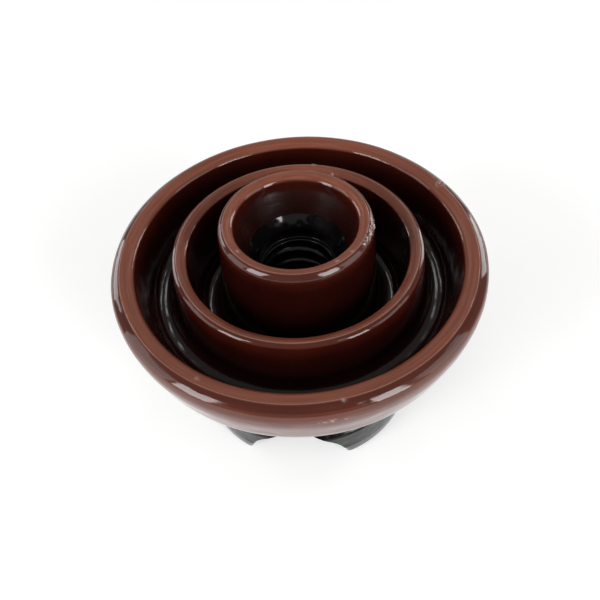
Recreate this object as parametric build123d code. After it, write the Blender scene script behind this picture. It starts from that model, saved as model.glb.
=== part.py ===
"""Pin-type porcelain insulator, standing on its conductor ears with the pin hole up.

Millimetres, +Z up along the insulator's axis. The origin is the centre of the plane that
the two ears rest on. The conductor groove in the crown runs along Y.

The insulator is one fired body. Each zone that is formed or glazed differently is a solid
of its own here, and neighbouring zones meet face to face with no gap.
"""
from build123d import *
from math import atan2, cos, degrees, radians, sin, sqrt, tan
import os

INCH = 25.4

# Crown
EAR_RADIUS = 47.9            # outside of the two ears, at the plane they rest on
FLANGE_RADIUS = 48.2         # widest part of the head, just short of the side groove
FLANGE_TOP_Z = 21.5          # where the head turns in to the side groove
EAR_EDGE_ROUND = 3.0
FLANGE_EDGE_ROUND = 2.2
GROOVE_RADIUS = 9 / 16 * INCH    # top groove, for the conductor
GROOVE_AXIS_Z = 0.7
GROOVE_STRAIGHT = 30.0       # length of the top groove that is a plain half cylinder
GROOVE_FLARE_RADIUS = 66.0   # its two ends flare out on this radius

# Side groove for the tie wire
NECK_RADIUS = 2.875 / 2 * INCH
SIDE_GROOVE_RADIUS = 9.5
SIDE_GROOVE_Z = 31.0
SHOULDER_SLOPE = 41.0        # degrees from level, outside of the bell above the side groove

# Outer skirt
SKIRT_RADIUS = 70.0
RIM_Z = 84.7                 # ridge of the rim
RIM_RIDGE_RADIUS = 66.1
RIM_INNER = (61.2, 83.4)     # inner edge of the rim's land
RIM_BEVEL = (67.9, 83.8)     # the bevel is slightly crowned here
RIM_CREASE = (69.35, 82.5)   # where the bevel turns down into the side
RIM_SIDE_Z = 80.0            # below it the skirt's side is nearly upright
BELL_CORNER = (66.2, 61.2)   # where the rim's side and the shoulder cone would meet
BELL_CORNER_ROUND = 14.0

# Channels between the lips: floor height, inner wall foot, outer wall foot, foot rounding
OUTER_CHANNEL_Z = 65.4
OUTER_CHANNEL = (49.0, 56.6)
OUTER_CHANNEL_ROUND = 4.1
INNER_CHANNEL_Z = 57.2
INNER_CHANNEL = (30.7, 39.5)
INNER_CHANNEL_ROUND = 4.4

# Middle petticoat
MIDDLE_Z = 86.6
MIDDLE_RIDGE_RADIUS = 44.9
MIDDLE_OUTER = (46.5, 85.6)
MIDDLE_INNER = (41.3, 84.5)

# Inner petticoat
HEIGHT = 98.6                # overall, from the ears' plane to the inner petticoat's ridge
INNER_RIDGE_RADIUS = 26.4
INNER_BEVEL = (27.7, 97.45)  # the bevel is a crowned curve
INNER_CREASE = (28.15, 95.5)
HOLE_EDGE = (22.3, 97.9)
HOLE_EDGE_ROUND = 2.6
HOLE_BORE = (22.2, 94.8)     # the bore is upright down to here, then it slopes in
HOLE_BORE_ROUND = 6.0

# Pin hole: 1 in pin thread, 4 threads per inch, tapering 1/16 in per inch on the diameter
PITCH = INCH / 4
THREAD_TAPER = degrees(atan2(1 / 32, 1))
MOUTH_RADIUS = 15.0          # plain land that the pin enters first
MOUTH_LAND = 3.0
THREAD_TOP_Z = 74.6
THREAD_LENGTH = 41.0
ROOT_RADIUS = 14.8           # at the mouth
CREST_RADIUS = 13.1          # at the mouth
COIL_RADIUS = 2.3            # rounded thread form
COIL_LEAD = 0.4              # the coil starts this far clear of the first crest
THREAD_START = 79.0          # degrees from +X, where the thread's groove starts at the mouth
FUNNEL_TOP = (18.2, 84.3)    # where the brown glaze stops and the black glaze starts
FUNNEL_WAIST = (16.1, 81.3)
FUNNEL_ROUND = 3.0
HOLE_END_DOME = 4.0

# Where one zone ends and the next starts
EAR_ZONE_Z = 9.0
HEAD_ZONE_Z = 24.0
NECK_ZONE_Z = 44.0
LINER_RADIUS = 20.5
LINER_END_Z = 28.0
ROOT_DEPTH = 5.0             # how far each petticoat is rooted below its channels' floors
FUNNEL_FOOT_Z = THREAD_TOP_Z + MOUTH_LAND


def outline(corners):
    """A closed face in the XZ plane from (radius, height, rounding) corners."""
    edges, ends = [], []
    count = len(corners)
    for i, (r, z, rounding) in enumerate(corners):
        before, after = corners[i - 1], corners[(i + 1) % count]
        back = Vector(before[0] - r, 0, before[1] - z).normalized()
        on = Vector(after[0] - r, 0, after[1] - z).normalized()
        corner = Vector(r, 0, z)
        if not rounding:
            ends.append((corner, corner))
            continue
        half = radians(back.get_angle(on)) / 2
        reach = rounding / tan(half)
        middle = corner + (back + on).normalized() * (rounding / sin(half) - rounding)
        start, end = corner + back * reach, corner + on * reach
        edges.append(Edge.make_three_point_arc(start, middle, end))
        ends.append((start, end))
    for i in range(count):
        start, end = ends[i][1], ends[(i + 1) % count][0]
        if (end - start).length > 1e-6:
            edges.append(Edge.make_line(start, end))
    return Face(Wire.combine(edges)[0])


def lathe(corners):
    return revolve(outline(corners), Axis.Z)


def slab(low, high):
    """Everything between two heights, as a cutter."""
    return Pos(0, 0, (low + high) / 2) * Cylinder(2 * SKIRT_RADIUS, high - low)


def side_groove():
    """The ring that is turned out of the neck for the tie wire."""
    centre = NECK_RADIUS + SIDE_GROOVE_RADIUS
    return Pos(0, 0, SIDE_GROOVE_Z) * Torus(centre, SIDE_GROOVE_RADIUS)


def shoulder_start():
    """The point where the side groove runs tangent into the bell's shoulder cone."""
    centre = NECK_RADIUS + SIDE_GROOVE_RADIUS
    slope = radians(SHOULDER_SLOPE)
    return (
        centre - SIDE_GROOVE_RADIUS * sin(slope),
        SIDE_GROOVE_Z + SIDE_GROOVE_RADIUS * cos(slope),
    )


def shoulder_radius(z):
    """Radius of the shoulder cone at a height."""
    r0, z0 = shoulder_start()
    r1, z1 = BELL_CORNER
    return r0 + (r1 - r0) * (z - z0) / (z1 - z0)


def conductor_groove():
    """The cutter for the top groove: a bar along Y that swells towards both ends."""
    half = GROOVE_STRAIGHT / 2
    reach = FLANGE_RADIUS + 5
    flare = GROOVE_FLARE_RADIUS
    run = reach - half

    def swell(distance):
        return GROOVE_RADIUS + flare - sqrt(flare**2 - distance**2)

    middle, end = swell(run / 2), swell(run)
    edges = [
        Edge.make_line((0, 0, -half), (GROOVE_RADIUS, 0, -half)),
        Edge.make_line((GROOVE_RADIUS, 0, -half), (GROOVE_RADIUS, 0, half)),
        Edge.make_line((GROOVE_RADIUS, 0, half), (0, 0, half)),
        Edge.make_line((0, 0, half), (0, 0, -half)),
    ]
    bar = revolve(Face(Wire.combine(edges)[0]), Axis.Z)
    edges = [
        Edge.make_line((0, 0, half), (GROOVE_RADIUS, 0, half)),
        Edge.make_three_point_arc(
            (GROOVE_RADIUS, 0, half), (middle, 0, half + run / 2), (end, 0, reach)
        ),
        Edge.make_line((end, 0, reach), (0, 0, reach)),
        Edge.make_line((0, 0, reach), (0, 0, half)),
    ]
    horn = revolve(Face(Wire.combine(edges)[0]), Axis.Z)
    cutter = bar + horn + mirror(horn, Plane.XY)
    return Pos(0, 0, GROOVE_AXIS_Z) * Rot(90, 0, 0) * cutter


def head():
    """The whole head below the neck zone: flange, ears and top groove."""
    centre = NECK_RADIUS + SIDE_GROOVE_RADIUS
    drum = lathe(
        [
            (0, 0, 0),
            (EAR_RADIUS, 0, 0),
            (FLANGE_RADIUS, FLANGE_TOP_Z, FLANGE_EDGE_ROUND),
            (centre, FLANGE_TOP_Z, 0),
            (centre - SIDE_GROOVE_RADIUS, SIDE_GROOVE_Z, 0),
            (0, SIDE_GROOVE_Z, 0),
        ]
    )
    shaped = drum - side_groove() - conductor_groove()
    rest_edges = shaped.edges().filter_by_position(Axis.Z, -0.01, 0.01)
    return fillet(rest_edges, EAR_EDGE_ROUND) & slab(-1, HEAD_ZONE_Z)


def crown_parts():
    """The two ears, and the block with the floor of the conductor groove."""
    whole = head()
    ears = (whole & slab(-1, EAR_ZONE_Z)).solids().sort_by(Axis.X)
    block = whole & slab(EAR_ZONE_Z, HEAD_ZONE_Z)
    return ears[0], ears[-1], block


def neck():
    """The tie-wire groove's zone, with a pocket for the end of the pin hole's wall."""
    r0, z0 = shoulder_start()
    blank = lathe(
        [
            (0, HEAD_ZONE_Z, 0),
            (NECK_RADIUS + SIDE_GROOVE_RADIUS, HEAD_ZONE_Z, 0),
            (NECK_RADIUS + SIDE_GROOVE_RADIUS, SIDE_GROOVE_Z, 0),
            (r0, z0, 0),
            (shoulder_radius(NECK_ZONE_Z), NECK_ZONE_Z, 0),
            (0, NECK_ZONE_Z, 0),
        ]
    )
    pocket_depth = NECK_ZONE_Z - LINER_END_Z
    pocket = Pos(0, 0, LINER_END_Z + pocket_depth / 2) * Cylinder(LINER_RADIUS, pocket_depth)
    return blank - side_groove() - pocket


def channel_middle(channel):
    return (channel[0] + channel[1]) / 2


def outer_skirt():
    """The bell: shoulder, rim and the outer channel's outer wall."""
    return lathe(
        [
            (LINER_RADIUS, NECK_ZONE_Z, 0),
            (shoulder_radius(NECK_ZONE_Z), NECK_ZONE_Z, 0),
            (*BELL_CORNER, BELL_CORNER_ROUND),
            (SKIRT_RADIUS, RIM_SIDE_Z, 2.6),
            (*RIM_CREASE, 1.0),
            (*RIM_BEVEL, 6.0),
            (RIM_RIDGE_RADIUS, RIM_Z, 0.8),
            (*RIM_INNER, 1.8),
            (OUTER_CHANNEL[1], OUTER_CHANNEL_Z, OUTER_CHANNEL_ROUND),
            (channel_middle(OUTER_CHANNEL), OUTER_CHANNEL_Z, 0),
            (channel_middle(OUTER_CHANNEL), OUTER_CHANNEL_Z - ROOT_DEPTH, 0),
            (channel_middle(INNER_CHANNEL), INNER_CHANNEL_Z - ROOT_DEPTH, 0),
            (LINER_RADIUS, INNER_CHANNEL_Z - ROOT_DEPTH, 0),
        ]
    )


def middle_petticoat():
    return lathe(
        [
            (channel_middle(INNER_CHANNEL), INNER_CHANNEL_Z, 0),
            (channel_middle(INNER_CHANNEL), INNER_CHANNEL_Z - ROOT_DEPTH, 0),
            (channel_middle(OUTER_CHANNEL), OUTER_CHANNEL_Z - ROOT_DEPTH, 0),
            (channel_middle(OUTER_CHANNEL), OUTER_CHANNEL_Z, 0),
            (OUTER_CHANNEL[0], OUTER_CHANNEL_Z, OUTER_CHANNEL_ROUND),
            (*MIDDLE_OUTER, 1.6),
            (MIDDLE_RIDGE_RADIUS, MIDDLE_Z, 0.7),
            (*MIDDLE_INNER, 1.6),
            (INNER_CHANNEL[1], INNER_CHANNEL_Z, INNER_CHANNEL_ROUND),
        ]
    )


def inner_petticoat():
    return lathe(
        [
            (LINER_RADIUS, INNER_CHANNEL_Z - ROOT_DEPTH, 0),
            (channel_middle(INNER_CHANNEL), INNER_CHANNEL_Z - ROOT_DEPTH, 0),
            (channel_middle(INNER_CHANNEL), INNER_CHANNEL_Z, 0),
            (INNER_CHANNEL[0], INNER_CHANNEL_Z, INNER_CHANNEL_ROUND),
            (*INNER_CREASE, 1.2),
            (*INNER_BEVEL, 4.0),
            (INNER_RIDGE_RADIUS, HEIGHT, 0.8),
            (*HOLE_EDGE, HOLE_EDGE_ROUND),
            (*HOLE_BORE, HOLE_BORE_ROUND),
            (*FUNNEL_TOP, 0),
            (LINER_RADIUS, FUNNEL_TOP[1], 0),
        ]
    )


def pin_hole_funnel():
    """The black-glazed lead-in, from the bore's brown mouth down to the thread's land."""
    return lathe(
        [
            (LINER_RADIUS, FUNNEL_FOOT_Z, 0),
            (LINER_RADIUS, FUNNEL_TOP[1], 0),
            (*FUNNEL_TOP, 0),
            (*FUNNEL_WAIST, FUNNEL_ROUND),
            (MOUTH_RADIUS, FUNNEL_FOOT_Z, 0),
        ]
    )


def pin_hole_thread():
    """The pin hole's wall with its tapered, rounded female thread and blind end."""
    taper = tan(radians(THREAD_TAPER))
    end_z = THREAD_TOP_Z - THREAD_LENGTH
    end_radius = CREST_RADIUS - taper * THREAD_LENGTH
    wall = lathe(
        [
            (0, LINER_END_Z, 0),
            (LINER_RADIUS, LINER_END_Z, 0),
            (LINER_RADIUS, FUNNEL_FOOT_Z, 0),
            (MOUTH_RADIUS, FUNNEL_FOOT_Z, 0),
            (MOUTH_RADIUS, THREAD_TOP_Z, 0),
            (CREST_RADIUS, THREAD_TOP_Z, 0.5),
            (end_radius, end_z - HOLE_END_DOME / 2, HOLE_END_DOME),
            (0, end_z - HOLE_END_DOME / 2, 0),
        ]
    )
    # the coil cuts the groove from just above the first crest to near the blind end
    start_z = THREAD_TOP_Z + COIL_RADIUS + COIL_LEAD
    coil_centre = ROOT_RADIUS - COIL_RADIUS
    coil_length = start_z - end_z - COIL_RADIUS
    end_centre = coil_centre - taper * coil_length
    path = Helix(
        pitch=PITCH,
        height=coil_length,
        radius=end_centre,
        cone_angle=THREAD_TAPER,
    )
    section = Plane(origin=path @ 0, z_dir=path % 0) * Circle(COIL_RADIUS)
    coil = sweep(section, path=path, is_frenet=True)
    threaded = wall - Pos(0, 0, start_z - coil_length) * coil
    return Rot(0, 0, THREAD_START - 360 * coil_length / PITCH) * threaded


def main():
    left_ear, right_ear, block = crown_parts()
    nodes = {
        "left_ear": left_ear,
        "right_ear": right_ear,
        "crown_saddle": block,
        "tie_wire_neck": neck(),
        "outer_skirt": outer_skirt(),
        "middle_petticoat": middle_petticoat(),
        "inner_petticoat": inner_petticoat(),
        "pin_hole_funnel": pin_hole_funnel(),
        "pin_hole_thread": pin_hole_thread(),
    }
    os.makedirs("parts", exist_ok=True)
    for name, shape in nodes.items():
        export_step(shape, f"parts/{name}.step")
        print(name, round(shape.volume), "mm3")


main()
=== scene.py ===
"""Looks of the pin-type porcelain insulator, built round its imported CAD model.

Metres in Blender; profile sizes below are in millimetres, in the CAD frame: the insulator
stands on its ears with the pin hole up, and the conductor groove runs along Y.
"""

import math

import bpy
import numpy as np
from mathutils import Matrix, Vector


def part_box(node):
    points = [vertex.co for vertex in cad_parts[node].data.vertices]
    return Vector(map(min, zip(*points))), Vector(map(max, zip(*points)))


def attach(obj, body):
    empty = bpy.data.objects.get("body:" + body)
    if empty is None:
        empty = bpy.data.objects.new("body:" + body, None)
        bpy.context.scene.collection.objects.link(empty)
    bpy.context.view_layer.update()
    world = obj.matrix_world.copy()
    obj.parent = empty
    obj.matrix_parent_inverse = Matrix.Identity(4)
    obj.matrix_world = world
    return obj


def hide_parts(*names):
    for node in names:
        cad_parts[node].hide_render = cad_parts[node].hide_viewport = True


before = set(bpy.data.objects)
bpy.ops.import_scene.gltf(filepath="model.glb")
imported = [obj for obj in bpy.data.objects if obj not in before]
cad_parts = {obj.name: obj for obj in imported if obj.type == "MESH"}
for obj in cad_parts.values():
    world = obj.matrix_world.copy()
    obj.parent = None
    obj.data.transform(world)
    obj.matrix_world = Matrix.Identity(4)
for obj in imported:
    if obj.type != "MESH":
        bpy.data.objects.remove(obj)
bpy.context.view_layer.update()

MM = 0.001
CAMERA_TURN = math.radians(7.7)     # from the -Y end of the conductor groove to the camera
SECTORS = 520                       # vertices round the axis


def top_of(node):
    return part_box(node)[1].z / MM


def foot_of(node):
    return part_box(node)[0].z / MM


def radius_of(node):
    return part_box(node)[1].x / MM


RIM_Z = top_of("outer_skirt")
MIDDLE_Z = top_of("middle_petticoat")
INNER_Z = top_of("inner_petticoat")
SKIRT_R = radius_of("outer_skirt")
NECK_Z = foot_of("outer_skirt")
NECK_R = radius_of("tie_wire_neck")
LINER_R = radius_of("pin_hole_thread")
LINER_Z = foot_of("pin_hole_thread")
FUNNEL_TOP_Z = top_of("pin_hole_funnel")
FUNNEL_FOOT_Z = foot_of("pin_hole_funnel")
ROOT_Z = foot_of("middle_petticoat")
INNER_ROOT_R = radius_of("inner_petticoat")
MIDDLE_ROOT_R = radius_of("middle_petticoat")

# Floors of the two ring channels: the outer one is a step above the inner one
FLOOR_THICKNESS = 5.0
FLOOR_STEP = 8.2
INNER_FLOOR_Z = ROOT_Z + FLOOR_THICKNESS
OUTER_FLOOR_Z = INNER_FLOOR_Z + FLOOR_STEP

FUNNEL_TOP_R = 18.2
RIM_RIDGE_R = 66.1

# Pin hole's thread: 4 turns per inch, 1/16 in per inch taper on the diameter
PITCH = 25.4 / 4
TAPER = 1 / 32
THREAD_START = math.radians(79.0)
MOUTH_R = 15.0
THREAD_TOP_Z = FUNNEL_FOOT_Z - 3.0
THREAD_LENGTH = 41.0
CREST_R = 13.1
COIL_R = 2.3
COIL_CENTRE_R = 12.5
COIL_TOP_Z = THREAD_TOP_Z + 2.7
THREAD_END_Z = THREAD_TOP_Z - THREAD_LENGTH
THREAD_END_R = CREST_R - TAPER * THREAD_LENGTH
COIL_TURNS = (COIL_TOP_Z - COIL_R - THREAD_END_Z) / PITCH
BLIND_END_DEPTH = 2.0               # plain end of the hole below the thread
COIL_EDGE_BLEND = 0.35              # softens the edge between coil and bore


# ---------------------------------------------------------------- profile

def with_roundings(corners):
    """A path of (radius, height, rounding) corners with its roundings drawn as arcs."""
    points = [np.array(corners[0][:2], float)]
    for before, (r, z, rounding), after in zip(corners, corners[1:], corners[2:]):
        corner = np.array((r, z), float)
        if not rounding:
            points.append(corner)
            continue
        back = np.array(before[:2], float) - corner
        on = np.array(after[:2], float) - corner
        back /= np.linalg.norm(back)
        on /= np.linalg.norm(on)
        half = math.acos(float(np.clip(back @ on, -1, 1))) / 2
        along = (back + on) / np.linalg.norm(back + on)
        centre = corner + along * rounding / math.sin(half)
        start = corner + back * rounding / math.tan(half) - centre
        end = corner + on * rounding / math.tan(half) - centre
        first = math.atan2(start[1], start[0])
        sweep = (math.atan2(end[1], end[0]) - first + math.pi) % (2 * math.pi) - math.pi
        for t in np.linspace(0, 1, max(4, int(abs(sweep) / math.radians(8)) + 1)):
            a = first + sweep * t
            points.append(centre + rounding * np.array((math.cos(a), math.sin(a))))
    points.append(np.array(corners[-1][:2], float))
    return points


def resampled(points, step):
    """The same path with no gap between points wider than step."""
    path = [points[0]]
    for p in points[1:]:
        start = path[-1]
        gap = float(np.linalg.norm(p - start))
        if gap < 1e-6:
            continue
        pieces = max(1, int(math.ceil(gap / step)))
        path += [start + (p - start) * t / pieces for t in range(1, pieces + 1)]
    return np.array(path)


def thread_radius(r, z, angle):
    """Radius of the threaded hole's wall: the turned bore, or the coil groove if it is wider."""
    behind = (THREAD_START - angle) % (2 * math.pi) / (2 * math.pi)
    widest = np.zeros_like(r)
    for turn in range(int(COIL_TURNS) + 1):
        turns = behind + turn
        centre_z = COIL_TOP_Z - PITCH * turns
        reach = COIL_R**2 - (z - centre_z) ** 2
        centre_r = COIL_CENTRE_R - TAPER * PITCH * turns
        groove = np.where(reach > 0, centre_r + np.sqrt(np.maximum(reach, 0)), 0)
        widest = np.maximum(widest, np.where(turns <= COIL_TURNS, groove, 0))
    near = np.clip(COIL_EDGE_BLEND - np.abs(r - widest), 0, None) / COIL_EDGE_BLEND
    return np.maximum(r, widest) + near**2 * COIL_EDGE_BLEND / 4


# Corners of each zone's glazed surface: (radius, height, rounding)
THREAD = [
    (0, THREAD_END_Z - BLIND_END_DEPTH, 0),
    (THREAD_END_R, THREAD_END_Z - BLIND_END_DEPTH, 4.0),
    (CREST_R, THREAD_TOP_Z, 0.5),
    (MOUTH_R, THREAD_TOP_Z, 0.4),
    (MOUTH_R, FUNNEL_FOOT_Z, 0),
]
FUNNEL = [
    (MOUTH_R, FUNNEL_FOOT_Z, 0),
    (14.75, FUNNEL_TOP_Z - 5.2, 1.2),
    (FUNNEL_TOP_R, FUNNEL_TOP_Z, 0),
]
INNER = [
    (FUNNEL_TOP_R, FUNNEL_TOP_Z, 0),
    (22.2, INNER_Z - 3.7, 6.0),
    (22.3, INNER_Z - 0.6, 2.5),
    (26.3, INNER_Z + 0.07, 1.3),
    (27.7, INNER_Z - 1.1, 3.3),
    (28.15, INNER_Z - 3.0, 1.2),
    (30.7, INNER_FLOOR_Z, 4.4),
    (INNER_ROOT_R, INNER_FLOOR_Z, 0),
]
MIDDLE = [
    (INNER_ROOT_R, INNER_FLOOR_Z, 0),
    (39.5, INNER_FLOOR_Z, 4.4),
    (41.3, MIDDLE_Z - 1.98, 1.6),
    (43.2, MIDDLE_Z - 0.62, 5.0),
    (44.9, MIDDLE_Z + 0.12, 1.2),
    (46.5, MIDDLE_Z - 0.88, 1.7),
    (49.0, OUTER_FLOOR_Z, 4.1),
    (MIDDLE_ROOT_R, OUTER_FLOOR_Z, 0),
]
SKIRT = [
    (MIDDLE_ROOT_R, OUTER_FLOOR_Z, 0),
    (56.6, OUTER_FLOOR_Z, 4.1),
    (61.2, RIM_Z - 1.25, 2.6),
    (RIM_RIDGE_R, RIM_Z + 0.05, 1.4),
    (67.9, RIM_Z - 0.85, 6.0),
    (69.35, RIM_Z - 2.15, 2.1),
    (70.0, RIM_Z - 4.3, 8.0),
    (69.9, RIM_Z - 8.2, 22.0),
    (66.2, NECK_Z + 17.2, 14.0),
    (NECK_R, NECK_Z, 0),
]
# Each zone's faces against its neighbours, from the end of its glazed surface to the start
THREAD_BACK = [(LINER_R, FUNNEL_FOOT_Z), (LINER_R, LINER_Z), (0, LINER_Z)]
FUNNEL_BACK = [(LINER_R, FUNNEL_TOP_Z), (LINER_R, FUNNEL_FOOT_Z)]
INNER_BACK = [(INNER_ROOT_R, ROOT_Z), (LINER_R, ROOT_Z), (LINER_R, FUNNEL_TOP_Z)]
MIDDLE_BACK = [(MIDDLE_ROOT_R, ROOT_Z + FLOOR_STEP), (INNER_ROOT_R, ROOT_Z)]
SKIRT_BACK = [
    (LINER_R, NECK_Z),
    (LINER_R, ROOT_Z),
    (INNER_ROOT_R, ROOT_Z),
    (MIDDLE_ROOT_R, ROOT_Z + FLOOR_STEP),
]

# Zone, its glazed surface, its hidden faces, and the widest gap between its rows of vertices
ZONES = [
    ("thread", THREAD, THREAD_BACK, 0.38),
    ("funnel", FUNNEL, FUNNEL_BACK, 0.35),
    ("inner", INNER, INNER_BACK, 0.8),
    ("middle", MIDDLE, MIDDLE_BACK, 0.8),
    ("skirt", SKIRT, SKIRT_BACK, 0.9),
]

rows, first_row = [], {}
for zone, corners, _, step in ZONES:
    path = resampled(with_roundings(corners), step)
    first_row[zone] = len(rows) - 1 if rows else 0
    rows += list(path) if not rows else list(path[1:])
    first_row[zone + " end"] = len(rows) - 1
profile = np.array(rows)

angles = np.arange(SECTORS) * 2 * math.pi / SECTORS
R = np.repeat(profile[:, :1], SECTORS, 1)
Z = np.repeat(profile[:, 1:], SECTORS, 1)
A = np.repeat(angles[None, :], len(profile), 0)
thread_rows = slice(0, first_row["funnel"] + 1)
bore_r, bore_z = R[thread_rows], Z[thread_rows]
threaded = (bore_z > THREAD_END_Z - BLIND_END_DEPTH + 0.1) & (bore_r > 1)
R[thread_rows] = np.where(threaded, thread_radius(bore_r, bore_z, A[thread_rows]), bore_r)

# Outward normal of the profile, and the length along it
tangent = np.gradient(profile, axis=0)
tangent /= np.linalg.norm(tangent, axis=1)[:, None]
out_r, out_z = -tangent[:, 1], tangent[:, 0]
run = np.concatenate([[0], np.cumsum(np.linalg.norm(np.diff(profile, axis=0), axis=1))])


def smooth(low, high, value):
    t = np.clip((value - low) / (high - low), 0, 1)
    return t * t * (3 - 2 * t)


# How far each row leans out or up, and the height of the lip it belongs to
row_r, row_z = profile[:, 0], profile[:, 1]
leans = np.hypot(out_r, out_z)
outward, upward = out_r / leans, out_z / leans
lip_z = np.select([row_r < INNER_ROOT_R, row_r < MIDDLE_ROOT_R], [INNER_Z, MIDDLE_Z], RIM_Z)
SIDE_R = 66.3          # beyond it is the skirt's outside
BORE_R = 22.5          # within it is the pin hole

# Where the glaze is duller: on the lands' inner slopes and down the bore
matte = smooth(-0.58, -0.42, outward) * (1 - smooth(-0.26, -0.08, outward))
matte *= smooth(-4.0, -3.0, row_z - lip_z)
matte = np.maximum(matte, 0.6 * (row_r < BORE_R) * (1 - smooth(-6.0, -4.0, row_z - INNER_Z)))

# Where it is paler: on the lips' lands, which are wiped thin before firing, and a little on the
# outside. The paler colour is partly thin glaze and partly painted sheen: the light from above on
# the lands, the floor's reflection on the outside
thin_and_sheen = np.where(out_r > 0, smooth(0.20, 0.60, upward), smooth(0.35, 0.8, upward))
thin_and_sheen *= 1 - 0.86 * smooth(-0.05, 0.42, outward)
thin_and_sheen *= smooth(-4.0, -3.0, row_z - lip_z)
thin_and_sheen = np.maximum(thin_and_sheen, 0.34 * (row_r > SIDE_R) * (row_z < RIM_Z - 1.5))

# Painted highlight along the lips' ridges, alike all round: a pale colour for the light the ridges
# catch
ridge = smooth(-0.13, -0.04, outward) * (1 - smooth(0.06, 0.18, outward))
ridge *= smooth(-1.5, -0.5, row_z - lip_z)

# Painted shade: darker down the channels' walls and the bore, the deeper below the lip
recess_shade = smooth(0.0, 8.0, lip_z - row_z)
recess_shade *= 1 - smooth(66.0, SIDE_R, row_r)

# The glaze's slow waves: it ran while it was soft, less so in the thread
WAVE_HEIGHT = 0.023
THREAD_CALM = 0.4
rng = np.random.default_rng(7)
waves = np.zeros_like(R)
for _ in range(26):
    around = int(rng.integers(2, 15))
    along = rng.uniform(-0.35, 0.35)
    waves += np.cos(around * A + along * run[:, None] + rng.uniform(0, 6.28)) / (1 + around * 0.25)
waves *= WAVE_HEIGHT
waves[thread_rows] *= THREAD_CALM

# Chips, pimples and a run of glaze on the lips, in degrees and mm: (angle from +X, radius, height,
# length round the lip, width, rise or depth, how rough from 0 to 1)
FLAWS = [
    (1.7, 27.7, INNER_Z - 1.4, 1.2, 1.0, -0.35, 0.9),
    (-4.3, 27.6, INNER_Z - 1.1, 1.5, 1.1, 0.40, 1.0),
    (-11.3, 27.2, INNER_Z - 0.8, 1.6, 1.0, -0.45, 1.0),
    (-18.3, 26.9, INNER_Z - 0.6, 1.4, 1.0, 0.35, 1.0),
    (-24.3, 26.7, INNER_Z - 0.5, 1.0, 0.7, -0.30, 0.9),
    (-139.3, 24.4, INNER_Z - 0.3, 0.6, 0.5, 0.16, 0.0),
    (-51.3, 24.8, INNER_Z - 0.2, 0.6, 0.5, 0.16, 0.0),
    (-36.3, 25.4, INNER_Z - 0.1, 0.5, 0.5, 0.14, 0.0),
    (85.7, 45.6, MIDDLE_Z - 0.2, 0.9, 0.9, 0.40, 0.2),
    (73.7, 42.0, MIDDLE_Z - 1.3, 1.0, 0.7, -0.30, 0.8),
    (33.7, 66.0, RIM_Z, 1.7, 1.7, -0.35, 1.0),
    (-115.3, 64.0, RIM_Z - 0.5, 0.6, 0.6, 0.20, 0.0),
    (-73.3, 66.3, RIM_Z, 0.6, 0.6, 0.20, 0.0),
    (-76.3, 70.0, RIM_Z - 5.3, 4.2, 0.45, 0.16, 0.7),
]
crumbs = np.zeros_like(R)
for _ in range(14):
    way = rng.normal(size=3)
    way *= rng.uniform(2.5, 6.0) / np.linalg.norm(way)
    phase = rng.uniform(0, 6.28)
    crumbs += np.cos(way[0] * R * np.cos(A) + way[1] * R * np.sin(A) + way[2] * Z + phase)
crumbs /= 3.0
# Pale colour: a painted highlight along the ridges, and the worn spots of the chips and pimples
wear_and_highlight = 0.30 * ridge[:, None] * (0.85 + 0.15 * crumbs.clip(-1, 1))
for angle, r, z, long, wide, rise, rough in FLAWS:
    round_lip = (A - math.radians(angle) + math.pi) % (2 * math.pi) - math.pi
    patch = np.exp(-((round_lip * r / long) ** 2) - ((R - r) ** 2 + (Z - z) ** 2) / wide**2)
    waves += rise * patch * (1 - rough + rough * crumbs)
    wear_and_highlight = np.maximum(wear_and_highlight, patch * smooth(-0.2, 0.5, crumbs) if rough > 0.5 else 0.5 * patch)
waves[0] = 0

wavy_r = R + out_r[:, None] * waves
grid = np.stack([wavy_r * np.cos(A), wavy_r * np.sin(A), Z + out_z[:, None] * waves], -1)

# Shading normals over the whole surface, so that the zones' seams don't show
along = np.gradient(grid, axis=0)
around = np.roll(grid, -1, 1) - np.roll(grid, 1, 1)
normals = np.cross(along, around)
length = np.linalg.norm(normals, axis=-1, keepdims=True)
normals = np.where(length > 1e-9, normals / np.maximum(length, 1e-9), (0, 0, 1.0))
normals[0] = (0, 0, 1.0)


# ---------------------------------------------------------------- meshes

def linked(name, mesh):
    """A new object in the scene, at the origin."""
    piece = bpy.data.objects.new(name, mesh)
    bpy.context.scene.collection.objects.link(piece)
    return piece


# What each point of a glazed surface tells its material, by row or by point
GLAZE_MARKS = {
    "thin_glaze_and_sheen": thin_and_sheen[:, None],
    "matte_glaze": matte[:, None],
    "wear_and_highlight_glaze": wear_and_highlight,
    "recess_shade_glaze": recess_shade[:, None],
}


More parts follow.
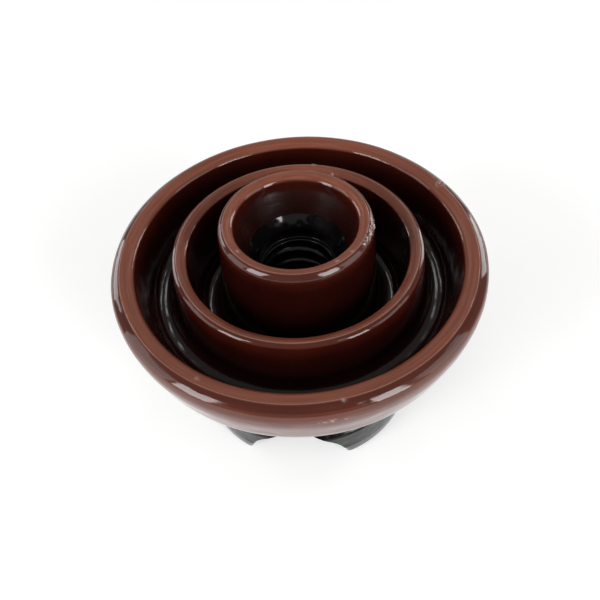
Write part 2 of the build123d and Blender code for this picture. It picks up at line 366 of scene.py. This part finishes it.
def zone_mesh(name, zone, back):
    """One zone as a closed mesh: its glazed surface, then its faces against its neighbours."""
    a, b = first_row[zone], first_row[zone + " end"]
    surface = grid[a : b + 1]
    shading = normals[a : b + 1]
    hidden = [
        np.stack([r * np.cos(angles), r * np.sin(angles), np.full(SECTORS, z)], -1)
        for r, z in resampled([np.array(p, float) for p in back], 6.0)
    ]
    closed = np.concatenate([surface, np.array(hidden)])
    ring_count = len(closed)
    vertices = closed.reshape(-1, 3)
    j = np.arange(SECTORS)
    k = (j + 1) % SECTORS
    faces, loop_normals = [], []
    for i in range(ring_count):
        n = (i + 1) % ring_count
        p, q = closed[i], closed[n]
        p_pole = np.hypot(p[0, 0], p[0, 1]) < 1e-6
        q_pole = np.hypot(q[0, 0], q[0, 1]) < 1e-6
        if p_pole and q_pole:
            continue
        on_surface = n > i and n < len(surface)
        quads = np.stack([i * SECTORS + j, n * SECTORS + j, n * SECTORS + k, i * SECTORS + k], -1)
        if on_surface:
            shade = np.stack([shading[i][j], shading[n][j], shading[n][k], shading[i][k]], 1)
        else:
            corners = vertices[quads]
            flat = np.cross(corners[:, 2] - corners[:, 0], corners[:, 3] - corners[:, 1])
            flat /= np.maximum(np.linalg.norm(flat, axis=1), 1e-12)[:, None]
            shade = np.repeat(flat[:, None], 4, 1)
        if p_pole:
            quads[:, 0] = i * SECTORS
            quads, shade = quads[:, [0, 1, 2]], shade[:, [0, 1, 2]]
        elif q_pole:
            quads[:, 1] = n * SECTORS
            quads, shade = quads[:, [0, 1, 3]], shade[:, [0, 1, 3]]
        faces += quads.tolist()
        loop_normals.append(shade.reshape(-1, 3))
    used = np.unique(np.concatenate([np.ravel(f) for f in faces]))
    renumber = np.full(len(vertices), -1)
    renumber[used] = np.arange(len(used))
    faces = [[int(renumber[v]) for v in f] for f in faces]
    mesh = bpy.data.meshes.new(name)
    mesh.from_pydata((vertices[used] * MM).tolist(), [], faces)
    mesh.update()
    mesh.polygons.foreach_set("use_smooth", [True] * len(mesh.polygons))
    mesh.normals_split_custom_set(np.concatenate(loop_normals).tolist())
    for mark, values in GLAZE_MARKS.items():
        level = np.zeros((ring_count, SECTORS))
        level[: len(surface)] = values[a : b + 1]
        layer = mesh.attributes.new(mark, "FLOAT", "POINT")
        layer.data.foreach_set("value", level.ravel()[used].astype(np.float32))
    return linked(name, mesh)


ZONE_NODES = {
    "thread": "pin_hole_thread",
    "funnel": "pin_hole_funnel",
    "inner": "inner_petticoat",
    "middle": "middle_petticoat",
    "skirt": "outer_skirt",
}
BROWN_ZONES = ("inner", "middle", "skirt")

pieces = {}
for zone, _, back, _ in ZONES:
    node = ZONE_NODES[zone]
    piece = zone_mesh(node + "_glazed", zone, back)
    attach(piece, "root")
    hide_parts(node)
    pieces[zone] = piece


EAR_VOXEL = 0.5                     # mm, finer than any rounding on the ear
EAR_SOFTENING_ROUNDS = 60
EAR_SOFT_Z, EAR_FIRM_Z = 2.5, 8.5   # softened fully below the first, not at all above the second


def softened_ear(node):
    """The ear with its tips rounded off, as hands leave them when the blank is trimmed."""
    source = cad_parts[node]
    blank = source.data.copy()
    blank.transform(source.matrix_world)
    piece = linked(node + "_blank", blank)
    remesh = piece.modifiers.new("remesh", "REMESH")
    remesh.mode = "VOXEL"
    remesh.voxel_size = EAR_VOXEL * MM
    depsgraph = bpy.context.evaluated_depsgraph_get()
    mesh = bpy.data.meshes.new_from_object(piece.evaluated_get(depsgraph))
    bpy.data.objects.remove(piece)
    place = np.empty(3 * len(mesh.vertices))
    mesh.vertices.foreach_get("co", place)
    place = place.reshape(-1, 3) / MM
    pairs = np.empty(2 * len(mesh.edges), dtype=np.int64)
    mesh.edges.foreach_get("vertices", pairs)
    pairs = pairs.reshape(-1, 2)
    near = np.concatenate([pairs[:, 0], pairs[:, 1]])
    far = np.concatenate([pairs[:, 1], pairs[:, 0]])
    count = np.maximum(np.bincount(near, minlength=len(place)), 1)
    soft = 0.5 * (1 - smooth(EAR_SOFT_Z, EAR_FIRM_Z, place[:, 2]))
    for _ in range(EAR_SOFTENING_ROUNDS):
        middle = np.stack(
            [np.bincount(near, place[far, i], len(place)) / count for i in range(3)], -1
        )
        place += soft[:, None] * (middle - place)
    mesh.vertices.foreach_set("co", (place * MM).ravel())
    mesh.update()
    mesh.polygons.foreach_set("use_smooth", [True] * len(mesh.polygons))
    mesh.name = node + "_glazed"
    return linked(node + "_glazed", mesh)


EARS = ("left_ear", "right_ear")
for node in EARS:
    piece = softened_ear(node)
    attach(piece, "root")
    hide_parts(node)
    pieces[node] = piece


# ---------------------------------------------------------------- glazes

class Tree:
    """Short calls for building one material's nodes."""

    def __init__(self, name):
        self.material = bpy.data.materials.new(name)
        self.material.use_nodes = True
        self.nodes = self.material.node_tree.nodes
        self.links = self.material.node_tree.links
        self.shader = self.nodes["Principled BSDF"]
        self.place = self.nodes.new("ShaderNodeTexCoord").outputs["Object"]

    def put(self, socket, value):
        if isinstance(value, bpy.types.NodeSocket):
            self.links.new(value, socket)
        else:
            socket.default_value = value

    def math(self, operation, a, b=0.0):
        node = self.nodes.new("ShaderNodeMath")
        node.operation = operation
        self.put(node.inputs[0], a)
        self.put(node.inputs[1], b)
        return node.outputs[0]

    def noise(self, vector, scale, detail=2.0, rough=0.5):
        node = self.nodes.new("ShaderNodeTexNoise")
        self.put(node.inputs["Vector"], vector)
        node.inputs["Scale"].default_value = scale
        node.inputs["Detail"].default_value = detail
        node.inputs["Roughness"].default_value = rough
        return node.outputs["Fac"]

    def ramp(self, value, low, high, out_low=0.0, out_high=1.0):
        node = self.nodes.new("ShaderNodeMapRange")
        node.interpolation_type = "SMOOTHSTEP"
        self.put(node.inputs["Value"], value)
        limits = {"From Min": low, "From Max": high, "To Min": out_low, "To Max": out_high}
        for name, number in limits.items():
            node.inputs[name].default_value = number
        return node.outputs["Result"]

    def blend(self, share, a, b):
        node = self.nodes.new("ShaderNodeMix")
        node.data_type = "RGBA"
        self.put(node.inputs[0], share)
        self.put(node.inputs[6], a if isinstance(a, bpy.types.NodeSocket) else (*a, 1))
        self.put(node.inputs[7], b if isinstance(b, bpy.types.NodeSocket) else (*b, 1))
        return node.outputs[2]

    def attribute(self, name):
        node = self.nodes.new("ShaderNodeAttribute")
        node.attribute_name = name
        return node.outputs["Fac"]

    def wheel_place(self):
        """Coordinates that run round the axis, for marks left by the potter's wheel."""
        split = self.nodes.new("ShaderNodeSeparateXYZ")
        self.put(split.inputs[0], self.place)
        x, y, z = split.outputs
        squares = self.math("ADD", self.math("MULTIPLY", x, x), self.math("MULTIPLY", y, y))
        radius = self.math("SQRT", squares)
        join = self.nodes.new("ShaderNodeCombineXYZ")
        self.put(join.inputs[0], radius)
        self.put(join.inputs[1], z)
        self.put(join.inputs[2], self.math("MULTIPLY", self.math("ARCTAN2", y, x), 0.0022))
        return join.outputs[0]

    def bump(self, height, strength, distance, normal=None):
        node = self.nodes.new("ShaderNodeBump")
        self.put(node.inputs["Height"], height)
        node.inputs["Strength"].default_value = strength
        node.inputs["Distance"].default_value = distance
        if normal is not None:
            self.put(node.inputs["Normal"], normal)
        return node.outputs["Normal"]


# Pale colour: a painted highlight along the lips' ridges, and the chips' worn spots
WEAR_AND_HIGHLIGHT = (0.50, 0.42, 0.38)


def brown_glaze():
    """Iron-brown glaze: paler on the lands, thin glaze with a painted sheen; nearly black down the
    channels, a painted shade.
    """
    t = Tree("brown_glaze")
    cloud = t.noise(t.place, 55.0, 4.0, 0.55)
    wheel = t.noise(t.wheel_place(), 1100.0, 3.0, 0.6)
    thin_sheen_share, recess_shade = t.attribute("thin_glaze_and_sheen"), t.attribute("recess_shade_glaze")
    clouded = t.ramp(cloud, 0.3, 0.7)
    full = t.blend(clouded, (0.036, 0.0047, 0.0026), (0.048, 0.0072, 0.0038))
    # Painted shade: the near-black colour down the channels' walls
    recess_shaded = t.blend(clouded, (0.0135, 0.0022, 0.0015), (0.0185, 0.0030, 0.0020))
    # Pale colour: partly thin glaze, partly a painted sheen of the light from above and of the
    # floor
    thin_sheen_colour = t.blend(t.ramp(wheel, 0.32, 0.68), (0.178, 0.0500, 0.0270), (0.238, 0.0750, 0.0440))
    coat = t.blend(thin_sheen_share, t.blend(recess_shade, full, recess_shaded), thin_sheen_colour)
    # Pale colour: a painted highlight on the ridges, worn spots on the chips and pimples
    t.put(t.shader.inputs["Base Color"], t.blend(t.attribute("wear_and_highlight_glaze"), coat, WEAR_AND_HIGHLIGHT))
    gloss = t.ramp(cloud, 0.25, 0.75, 0.05, 0.10)
    gloss = t.math("ADD", gloss, t.math("MULTIPLY", recess_shade, 0.05))
    gloss = t.math("ADD", gloss, t.math("MULTIPLY", t.attribute("matte_glaze"), 0.24))
    t.put(t.shader.inputs["Roughness"], gloss)
    ripple = t.noise(t.place, 140.0, 0.5, 0.4)
    marks = t.bump(wheel, 0.35, 0.00012)
    t.put(t.shader.inputs["Normal"], t.bump(ripple, 0.38, 0.0007, marks))
    t.shader.inputs["IOR"].default_value = 1.46
    return t.material


def black_glaze(name, dusty, index):
    """Near-black glaze with cloudy dust; dusty is the dust's share, index the refractive index."""
    t = Tree(name)
    cloud = t.noise(t.place, 70.0, 3.0, 0.5)
    dust = t.ramp(t.noise(t.place, 95.0, 5.0, 0.62), 0.50, 0.70, 0.0, dusty)
    coat = t.blend(cloud, (0.0016, 0.0015, 0.0015), (0.0034, 0.0030, 0.0029))
    t.put(t.shader.inputs["Base Color"], t.blend(dust, coat, (0.130, 0.128, 0.126)))
    gloss = t.ramp(cloud, 0.25, 0.75, 0.05, 0.11)
    t.put(t.shader.inputs["Roughness"], t.math("ADD", gloss, t.math("MULTIPLY", dust, 0.25)))
    ripple = t.noise(t.place, 150.0, 1.0, 0.5)
    t.put(t.shader.inputs["Normal"], t.bump(ripple, 0.45, 0.0008))
    t.shader.inputs["IOR"].default_value = index
    return t.material


brown = brown_glaze()
black = black_glaze("black_glaze", 0.06, 1.5)
black_crown = black_glaze("black_crown_glaze", 0.30, 1.32)

for zone, piece in pieces.items():
    if zone in EARS:
        glaze = black_crown
    else:
        glaze = brown if zone in BROWN_ZONES else black
    piece.data.materials.append(glaze)
for node in ("crown_saddle", "tie_wire_neck"):
    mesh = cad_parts[node].data
    mesh.materials.clear()
    mesh.materials.append(black_crown)


# ---------------------------------------------------------------- stage, light and camera

def turned(v):
    """A direction or point given in the camera's own quarter, in the CAD frame."""
    return Matrix.Rotation(CAMERA_TURN, 3, "Z") @ Vector(v)


def place_camera():
    elevation, distance = math.radians(46.8378), 3.2438 * SKIRT_R * MM
    roll, yaw, pitch = -0.0776, -0.0024, -0.0754     # radians
    aim_below_rim = 4.64
    spot = Vector((0, -math.cos(elevation), math.sin(elevation))) * distance
    ahead = -spot.normalized()
    right = Vector((1, 0, 0))
    up = right.cross(ahead)
    ahead = (ahead + math.tan(yaw) * right + math.tan(pitch) * up).normalized()
    right = ahead.cross(up).normalized()
    up = right.cross(ahead)
    side = math.cos(roll) * right + math.sin(roll) * up
    rise = math.cos(roll) * up - math.sin(roll) * right
    data = bpy.data.cameras.new("camera")
    data.sensor_width = 36.0
    data.lens = 36.0
    data.clip_start, data.clip_end = 0.01, 50.0
    camera = linked("camera", data)
    side, rise, back = turned(side), turned(rise), turned(-ahead)
    spot = turned(spot) + Vector((0, 0, (RIM_Z - aim_below_rim) * MM))
    facing = Matrix((side, rise, back)).transposed().to_4x4()
    camera.matrix_world = Matrix.Translation(spot) @ facing
    bpy.context.scene.camera = camera


LIGHT_DISTANCE = 1.2
LIGHT_AIM_Z = 0.07
# Azimuth from the camera, + to its right, and elevation in degrees; size in metres; radiance
SOFTBOXES = {
    "front_left_softbox": (-57, 22, (0.40, 0.74), 8.5),
    "front_right_softbox": (40, 22, (0.38, 0.74), 9.5),
    "left_wing": (-86, 18, (0.62, 0.85), 1.7),
    "right_wing": (72, 18, (0.62, 0.85), 1.7),
    "back_left_softbox": (-125, 12, (0.50, 0.44), 3.6),
    "back_right_softbox": (125, 12, (0.46, 0.50), 4.5),
    "top_left_strip": (-160, 44, (0.10, 0.30), 4.5),
    "top_right_strip": (160, 44, (0.10, 0.30), 4.5),
}


def softbox(name, azimuth, elevation, size, radiance):
    """A rectangular light aimed at the insulator."""
    a, e = math.radians(azimuth), math.radians(elevation)
    way = turned((math.sin(a) * math.cos(e), -math.cos(a) * math.cos(e), math.sin(e)))
    data = bpy.data.lights.new(name, "AREA")
    data.shape = "RECTANGLE"
    data.size, data.size_y = size
    data.energy = radiance * math.pi * size[0] * size[1]
    light = linked(name, data)
    light.location = way * LIGHT_DISTANCE + Vector((0, 0, LIGHT_AIM_Z))
    light.rotation_mode = "QUATERNION"
    light.rotation_quaternion = way.to_track_quat("Z", "Y")


def floor():
    """Plain pale paper, lit well enough to come out white."""
    half = 4.0
    corners = [(-half, -half, 0), (half, -half, 0), (half, half, 0), (-half, half, 0)]
    mesh = bpy.data.meshes.new("floor")
    mesh.from_pydata(corners, [], [(0, 1, 2, 3)])
    piece = linked("floor", mesh)
    material = bpy.data.materials.new("floor_paper")
    material.use_nodes = True
    shader = material.node_tree.nodes["Principled BSDF"]
    shader.inputs["Base Color"].default_value = (0.72, 0.72, 0.72, 1)
    shader.inputs["Roughness"].default_value = 0.9
    shader.inputs["Emission Color"].default_value = (1.0, 1.0, 1.0, 1)
    shader.inputs["Emission Strength"].default_value = 0.40
    mesh.materials.append(material)


floor()
place_camera()
for name, settings in SOFTBOXES.items():
    softbox(name, *settings)


def studio():
    """Plain pale surroundings, the same in every direction."""
    world = bpy.data.worlds.new("studio")
    world.use_nodes = True
    background = world.node_tree.nodes["Background"]
    background.inputs["Color"].default_value = (1.0, 0.985, 0.96, 1)
    background.inputs["Strength"].default_value = 0.3
    return world


scene = bpy.context.scene
scene.world = studio()
scene.view_settings.view_transform = "Standard"
scene.view_settings.look = "None"
